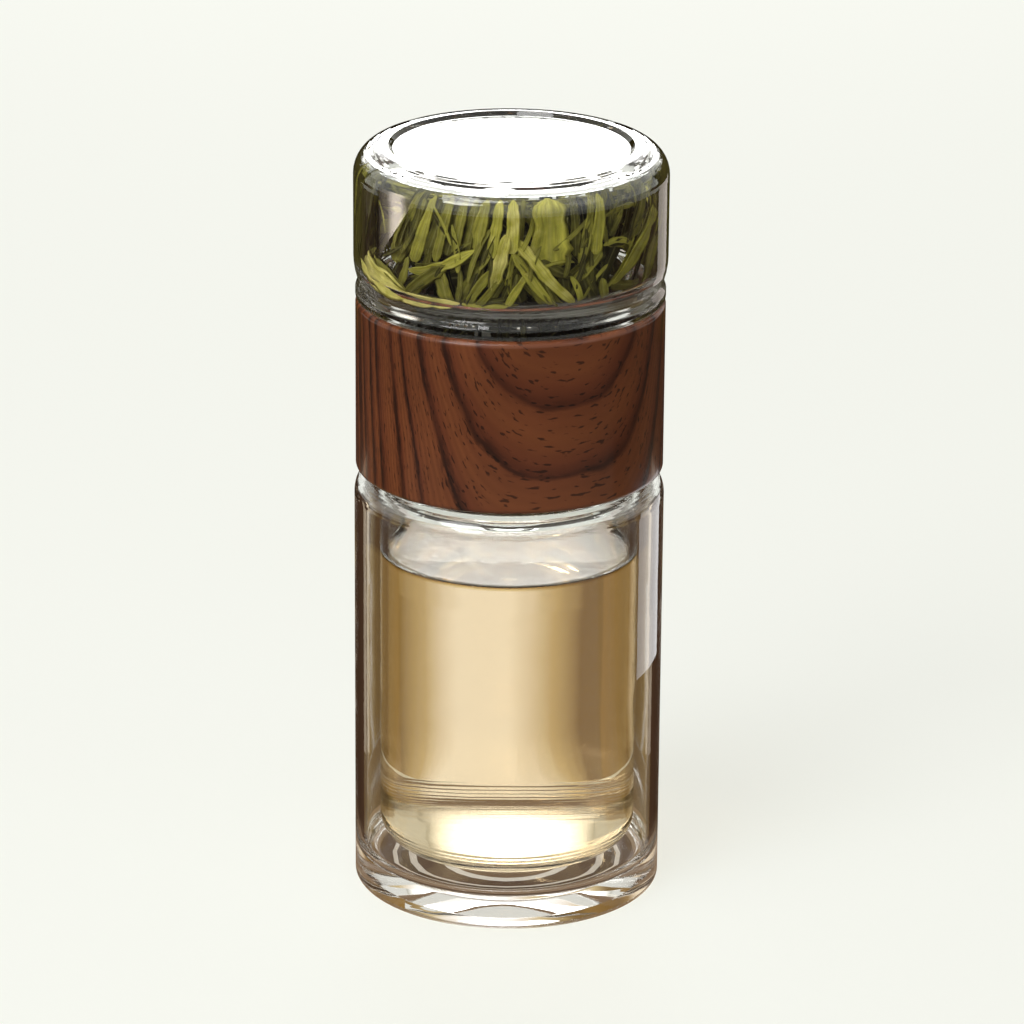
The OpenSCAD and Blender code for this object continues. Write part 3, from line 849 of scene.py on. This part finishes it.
def wallLeaves(draw):
    # each leaf as path, face, width and tone; those at the front have neighbours behind them, with tones
    # darkened as painted shade
    blades = []
    spec = leaves["beside"]
    for x0, z0, x1, z1, bow, width, tone, depth in frontLeaves:
        a0, a1 = [math.degrees(math.asin(x / (chamberInside - leaves["frontInset"]))) for x in (x0, x1)]
        blades.append((*wallBlade((a0, z0), (a1, z1), bow, depth), width, tone))
        for _ in range(spec["count"]):
            shift = draw.choice((-1, 1)) * draw.uniform(*spec["shift"])
            lean = draw.uniform(*spec["lean"])
            beside = wallBlade((a0 + shift, z0 + draw.uniform(*spec["height"])),
                               (a1 + shift + lean, z1 + draw.uniform(*spec["height"])),
                               bow + draw.uniform(*spec["bow"]), depth + draw.uniform(*spec["depth"]))
            narrow = draw.uniform(*spec["width"])
            # painted shade: a neighbour behind a front blade takes a darker tone
            blades.append((*beside, narrow, max(0.0, tone - draw.uniform(*spec["darker"]))))
    # thin broken ones lie across them
    spec = leaves["slivers"]
    for _ in range(spec["count"]):
        sliver = leaningBlade(draw, draw.uniform(*spec["angles"]), spec)
        blades.append((*sliver, draw.uniform(*spec["width"]), draw.uniform(*spec["tone"])))
    # more of them line the wall round the sides and the back
    spec = leaves["lining"]
    first, last = spec["angles"]
    for k in range(spec["count"]):
        lining = leaningBlade(draw, first + (last - first) * (k + draw.random()) / spec["count"], spec)
        width = draw.uniform(*spec["width"])
        blades.append((*lining, width, held(draw.gauss(*spec["tone"]), *spec["toneEnds"])))
    return blades


def looseLeaves(draw):
    # these fill the room; those low in the pile get a darker tone as painted shade
    blades = []
    tries = 0
    spec = leaves["filler"]
    while len(blades) < spec["count"] and tries < spec["tries"]:
        tries += 1
        half = draw.uniform(*leaves["length"]) / 2
        width = draw.uniform(*leaves["width"])
        middle = spotInside(draw, spec)
        steep = draw.gauss(*spec["steep"])
        heading = draw.uniform(0, 2 * math.pi)
        level = math.cos(steep)
        way = Vector((math.cos(heading) * level, math.sin(heading) * level, math.sin(steep)))
        sag = Vector([draw.gauss(0, 1) for _ in range(3)]).normalized() * draw.uniform(*spec["sag"])
        path = bentPath(middle - way * half, middle + way * half, sag)
        # painted shade: leaves below this height take the dark tone, for the shade deep in the pile
        tone = draw.gauss(spec["tones"][middle.z > spec["deepBelow"]], spec["toneSpread"])
        face = way.cross(Vector([draw.gauss(0, 1) for _ in range(3)])).normalized()
        if leafFits(path, width):
            blades.append((path, face, width, held(tone, *spec["toneEnds"])))
    # the last ones lie flat on top
    spec = leaves["topLayer"]
    full = len(blades) + spec["count"]
    while len(blades) < full and tries < spec["tries"]:
        tries += 1
        half = draw.uniform(*leaves["length"]) / 2
        width = draw.uniform(*leaves["width"])
        middle = spotInside(draw, spec)
        heading = draw.uniform(0, 2 * math.pi)
        way = Vector((math.cos(heading), math.sin(heading), draw.gauss(0, spec["slope"]))).normalized()
        path = bentPath(middle - way * half, middle + way * half, Vector((0, 0, draw.uniform(*spec["sag"]))))
        face = Vector((draw.gauss(0, spec["roll"]), draw.gauss(0, spec["roll"]), 1)).normalized()
        if leafFits(path, width):
            blades.append((path, face, width, held(draw.gauss(*spec["tone"]), *spec["toneEnds"])))
    return blades


def leafSeedMesh(name, blades):
    # paths as edges, with what each blade needs kept on its points
    vertices, edges, faces, widths, tones = [], [], [], [], []
    for path, face, width, tone in blades:
        first = len(vertices)
        vertices += [p * mm for p in path]
        edges += [(first + k, first + k + 1) for k in range(len(path) - 1)]
        faces += [c for _ in path for c in face]
        widths += [width / 2 * mm] * len(path)
        tones += [tone] * len(path)
    mesh = bpy.data.meshes.new(name)
    mesh.from_pydata(vertices, edges, [])
    mesh.attributes.new("leafFace", "FLOAT_VECTOR", "POINT").data.foreach_set("vector", faces)
    mesh.attributes.new("leafWidth", "FLOAT", "POINT").data.foreach_set("value", widths)
    mesh.attributes.new("leafTone", "FLOAT", "POINT").data.foreach_set("value", tones)
    return mesh


def leafTree():
    # sweeps a folded section along each path
    tree, add, given = newTree("leafBlades", ("Thickness", "Fold"))
    curve = add("GeometryNodeMeshToCurve", {"Mesh": given["Geometry"]})
    face = add("GeometryNodeInputNamedAttribute", {"Name": "leafFace"}, data_type="FLOAT_VECTOR")
    faced = add("GeometryNodeSetCurveNormal", {"Curve": curve, "Normal": face}, mode="FREE")
    # the width follows a long leaf, narrow at the stalk and pointed at the tip, with a ragged edge
    step = add("GeometryNodeSplineParameter")
    taper = add("FloatCurve", {"Value": step})
    points = taper.mapping.curves[0].points
    points[0].location = (0.0, 0.35)
    points[1].location = (1.0, 0.12)
    for x, y in ((0.1, 0.85), (0.45, 1.0), (0.8, 0.85)):
        points.new(x, y)
    taper.mapping.update()
    width = add("GeometryNodeInputNamedAttribute", {"Name": "leafWidth"}, data_type="FLOAT")
    even = add("Math", [width, taper], operation="MULTIPLY")
    spot = add("GeometryNodeInputPosition")
    wander = add("TexNoise", {"Vector": spot, "Scale": 1 / (leaves["raggedSize"] * mm), "Detail": 2.0})
    ragged = add("MapRange", {
        "Value": wander, **noiseSpan, "To Min": leaves["ragged"][0], "To Max": leaves["ragged"][1]})
    reach = add("Math", [even, ragged], operation="MULTIPLY")
    drift = add("TexNoise", {"Vector": spot, "Scale": 1 / (leaves["twistSize"] * mm), "Detail": 1.0})
    twist = add("MapRange", {
        "Value": drift, **noiseSpan, "To Min": -leaves["twist"], "To Max": leaves["twist"]})
    twisted = add("GeometryNodeSetCurveTilt", {"Curve": faced, "Tilt": twist})
    marked = add("GeometryNodeStoreNamedAttribute", {
        "Geometry": twisted, "Name": "leafAlong", "Value": step}, data_type="FLOAT", domain="POINT")
    # section: a thin lens folded along the midrib
    ring = add("GeometryNodeCurvePrimitiveCircle", {"Resolution": 8, "Radius": 1.0})
    place = add("GeometryNodeInputPosition")
    x, y, _ = add("SeparateXYZ", [place]).outputs
    flat = add("Math", [y, given["Thickness"]], operation="MULTIPLY")
    side = add("Math", [x], operation="ABSOLUTE")
    folded = add("Math", [side, given["Fold"], flat], operation="MULTIPLY_ADD")
    section = add("CombineXYZ", [folded, x])
    across = add("GeometryNodeStoreNamedAttribute", {
        "Geometry": ring, "Name": "leafAcross", "Value": x}, data_type="FLOAT", domain="POINT")
    shaped = add("GeometryNodeSetPosition", {"Geometry": across, "Position": section})
    swept = add("GeometryNodeCurveToMesh", {
        "Curve": marked, "Profile Curve": shaped, "Scale": reach, "Fill Caps": True})
    smooth = add("GeometryNodeSetShadeSmooth", [swept])
    endTree(add, smooth, given["Material"])
    return tree


draw = random.Random(leaves["seed"])
allLeaves = wallLeaves(draw) + looseLeaves(draw)
leafBlades = leafTree()
for name, kind in (("teaNeedles", "needle"), ("teaBlades", "blade")):
    chosen = [leaf for leaf in allLeaves if (leaf[2] >= leaves["bladeFrom"]) == (kind == "blade")]
    leafMesh = grown(leafSeedMesh(name, chosen), leafBlades, {**leaves[kind], "Material": leafFinish})
    addPiece(name, leafMesh, leafFinish, "chamber")

# Studio

# floorSize is in metres; focal, centre and frame are in pixels of the photograph
studio = {
    "floorSize": 6.0, "floorDrop": 0.1, "background": "#F7F8F1", "paper": "#8E8F8A", "floorGlow": 0.7,
    "worldFill": 0.35, "arcSteps": 24,
    "camera": {"focal": 5200.0, "distance": 1110.7, "rise": 19.82, "aimHeight": 84.0,
               "centre": (509.0, 507.3), "lean": -0.44, "frame": 1024}}


def shownShare(add):
    # 1 for what the camera sees straight, in a mirror or through glass, and 0 for light on the object
    kinds = add("LightPath").outputs
    seen = add("Math", [kinds["Is Camera Ray"], kinds["Is Transmission Ray"]], operation="MAXIMUM")
    return add("Math", [seen, kinds["Is Glossy Ray"]], operation="MAXIMUM")


def floorMaterial():
    # matt paper sweep; part of its brightness is its own, so that the shadow stays light
    material, add = newMaterial("paperSweep")
    paper = add("BsdfDiffuse", {"Color": linear(studio["paper"])})
    glow = add("Emission", {"Color": linear(studio["background"]), "Strength": studio["floorGlow"]})
    dark = add("Emission", {"Strength": 0.0})
    glowSeen = add("MixShader", [shownShare(add), dark, glow])
    both = add("AddShader", [paper, glowSeen])
    add("OutputMaterial", {"Surface": both})
    return material


def addFloor():
    half = studio["floorSize"] / 2
    mesh = bpy.data.meshes.new("floor")
    corners = [(-half, -half, 0), (half, -half, 0), (half, half, 0), (-half, half, 0)]
    mesh.from_pydata(corners, [], [(0, 1, 2, 3)])
    mesh.materials.append(floorMaterial())
    floor = bpy.data.objects.new("floor", mesh)
    floor.location.z = -studio["floorDrop"] * mm
    scene.collection.objects.link(floor)


def addWorld():
    world = bpy.data.worlds.new("studio")
    world.use_nodes = True
    world.node_tree.nodes.clear()
    add = partial(addNode, world.node_tree)
    strength = add("MapRange", {"Value": shownShare(add), "To Min": studio["worldFill"], "To Max": 1.0})
    sky = add("Background", {"Color": linear(studio["background"]), "Strength": strength})
    add("OutputWorld", {"Surface": sky})
    scene.world = world


def addLamp(name, at, aim, size, power):
    data = bpy.data.lights.new(name, "AREA")
    data.shape = "ELLIPSE"
    data.size, data.size_y = size
    data.energy = power
    lamp = bpy.data.objects.new(name, data)
    lamp.location = at
    lamp.rotation_mode = "QUATERNION"
    lamp.rotation_quaternion = (Vector(aim) - Vector(at)).to_track_quat("-Z", "Y")
    lamp.visible_camera = False
    scene.collection.objects.link(lamp)


def addCamera(spec):
    data = bpy.data.cameras.new("photoCamera")
    data.sensor_width = 36.0
    data.lens = spec["focal"] * data.sensor_width / spec["frame"]
    data.clip_start, data.clip_end = 0.01, 20.0
    rise = math.radians(spec["rise"])
    target = Vector((0, 0, spec["aimHeight"] * mm))
    back = Vector((0, -math.cos(rise), math.sin(rise)))
    camera = bpy.data.objects.new("photoCamera", data)
    camera.location = target + back * spec["distance"] * mm
    perPixel = spec["distance"] * mm / spec["focal"]
    middle = spec["frame"] / 2
    up = Vector((0, math.sin(rise), math.cos(rise)))
    aim = target + Vector((1, 0, 0)) * (middle - spec["centre"][0]) * perPixel
    aim += up * (spec["centre"][1] - middle) * perPixel
    look = (aim - camera.location).to_track_quat("-Z", "Y")
    camera.rotation_mode = "QUATERNION"
    camera.rotation_quaternion = look @ Quaternion((0, 0, 1), math.radians(-spec["lean"]))
    scene.collection.objects.link(camera)
    scene.camera = camera


def arcPoints(radius, fromTurn, toTurn, height, endHeight=None):
    # points on a circle about the object; a turn is in degrees from the front, to the right
    points = []
    climb = 0 if endHeight is None else endHeight - height
    for k in range(studio["arcSteps"] + 1):
        share = k / studio["arcSteps"]
        turn = math.radians(fromTurn + (toTurn - fromTurn) * share)
        rise = height + climb * share
        points.append((radius * mm * math.sin(turn), -radius * mm * math.cos(turn), rise * mm))
    return points


def addCard(name, low, high, stops, strength=1.0, through=True):
    # a card between two arcs, shaded along them; it shows in glass and lacquer but not to the camera
    material, add = newMaterial(name)
    along = add("Attribute", attribute_name="along")
    shade = add("ValToRGB", [along.outputs["Fac"]])
    fillRamp(shade, [(0.0, stops)] if isinstance(stops, str) else stops)
    glow = add("Emission", {"Color": shade, "Strength": strength})
    add("OutputMaterial", {"Surface": glow})
    mesh = bpy.data.meshes.new(name)
    steps = studio["arcSteps"]
    faces = [(k, k + 1, steps + k + 2, steps + k + 1) for k in range(steps)]
    mesh.from_pydata(arcPoints(*low) + arcPoints(*high), [], faces)
    shares = [k / steps for k in range(steps + 1)] * 2
    mesh.attributes.new("along", "FLOAT", "POINT").data.foreach_set("value", shares)
    mesh.materials.append(material)
    card = bpy.data.objects.new(name, mesh)
    card.visible_camera = card.visible_diffuse = card.visible_shadow = False
    card.visible_transmission = through
    scene.collection.objects.link(card)


addFloor()
addWorld()
# on the table, dark far off
addCard("frontCard", (42, -80, 80, 1.2), (330, -80, 80, 1.2), "#A39C91")
addCard("frontFar", (330, -80, 80, 1.2), (700, -80, 80, 1.2), "#4A443C")
for name, turn, end in (("leftFloor", -80, -142), ("rightFloor", 80, 142)):
    addCard(name, (50, turn, end, 1.2), (230, turn, end, 1.2), "#A68B58")
    addCard(name + "Far", (230, turn, end, 1.2), (700, turn, end, 1.2), "#4A3C30")
addCard("floorCard", (42, 0, 360, 1), (700, 0, 360, 1), "#33271F", through=False)
# upright at both sides and behind the chamber
brown = ["#E6DDD6", "#4E3828", "#3A281C"]
dim = ["#1D160F", "#2A2413", "#46401F"]
for name, turn, end, pale in (("left", -150, -98, 0.11), ("right", 150, 98, 0.15)):
    addCard(name + "Low", (47, turn, end, 0), (47, turn, end, 84), [
        (0.0, brown[0]), (pale, brown[0]), (pale + 0.03, brown[1]), (0.7, brown[2]), (1.0, brown[1])])
    addCard(name + "High", (47, turn, end, 116), (47, turn, end, 170), [
        (0.0, dim[0]), (0.3, dim[1]), (0.7, dim[2]), (1.0, dim[1])])
addCard("backHigh", (50, 143, 217, 116), (50, 143, 217, 152), [
    (0.0, brown[2]), (0.3, dim[0]), (0.7, dim[0]), (1.0, brown[2])])
# behind the tea, which turns left and right round: pale in the middle and brown at its sides
golden = ["#5F4724", "#755B30", "#C0AC80", "#FBF7F2"]
sand = "#C8B89E"
middleStops = [(0.0, golden[1]), (0.3, golden[2]), (0.46, golden[3]), (0.6, golden[3]), (0.72, golden[2]),
               (0.84, golden[1]), (1.0, golden[1])]
farStops = [(0.0, golden[0]), (0.2, golden[1]), (0.36, golden[2]), (0.45, golden[3]), (0.53, golden[3]),
            (0.6, golden[2]), (0.67, golden[1]), (1.0, golden[0])]
rightStops = [(0.0, golden[1]), (0.25, golden[0]), (0.42, golden[1]), (0.52, sand), (1.0, "#B8A890")]
leftStops = [(0.0, golden[1]), (0.2, golden[0]), (0.28, golden[1]), (0.4, sand), (1.0, sand)]
addCard("backMiddle", (92, 162, 192, 0.5), (92, 162, 192, 31), middleStops, 1.5)
addCard("backMiddleFloor", (60, 171, 186, 0.5), (92, 162, 192, 0.5), middleStops, 1.5)
addCard("farFloor", (140, 138, 218, 0.5), (240, 128, 226, 0.5), farStops, 1.5)
for name, turn, inner, end, stops in (
        ("backRight", 162, 171, 115, rightStops), ("backLeft", 192, 186, 245, leftStops)):
    addCard(name, (92, turn, end, 0.5), (92, turn, end, 38, 75), stops, 2.0)
    addCard(name + "Floor", (60, inner, end, 0.5), (92, turn, end, 0.5), stops, 2.0)
# rings under the foot, which the thick base spreads into nested arcs
footRings = [(2, "#7A6048"), (13, "#E2D8CA"), (15, "#5A4332"), (20, "#D8CCBC"), (21.5, "#4A3626"),
             (24, "#D8CCBC"), (25, "#5A4332"), (29, "#8C735A"), (60, None)]
for (inner, shade), (outer, _) in zip(footRings, footRings[1:]):
    addCard(f"footRing{inner}", (inner, -180, 180, -0.05), (outer, -180, 180, -0.05), shade)
# window light in the glass: strips at the sides, a glow on the flat top and on the tea, a dark horizon
softStops = [(0.0, "#1C1712"), (0.3, "#6E665C"), (0.5, "#F4E6D6"), (0.65, "#F4E6D6"), (0.8, "#6E665C"),
             (1.0, "#1C1712")]
glowStops = [(0.0, "#55554F"), (0.4, "#FFFFFF"), (0.56, "#FFFFFF"), (1.0, "#55554F")]
addCard("rightStrip", (46.5, 77, 107, 44), (46.5, 77, 107, 87), "#FFFFFF", 2.2, through=False)
addCard("leftStrip", (46.5, -76, -48, 139, 155), (46.5, -76, -48, 163), softStops, 14.0, through=False)
addCard("edgeStrip", (46.5, 94, 113, 127), (46.5, 94, 113, 155), "#F2E6DE", 1.3, through=False)
addCard("glowCard", (900, 160, 203, 230), (900, 160, 203, 362), glowStops, 4.5)
addCard("surfaceGlow", (900, 161, 202, 362), (900, 161, 202, 600), glowStops, 6.5)
addCard("horizonCard", (200, 110, 250, 125), (200, 110, 250, 205), "#16120D", through=False)
addLamp("keyLamp", (-0.75, -0.85, 0.95), (0, 0, 0.08), (0.7, 0.7), 9.0)
addLamp("fillLamp", (0.9, -0.6, 0.7), (0, 0, 0.08), (0.5, 0.8), 0.8)
addLamp("backLamp", (0.0, 1.25, 0.6), (0, 0, 0.16), (0.7, 0.42), 5.5)
addLamp("topLamp", (-0.25, -0.3, 1.1), (0, 0, 0.1), (0.5, 0.4), 4.0)
addCamera(studio["camera"])
print("studio ready")
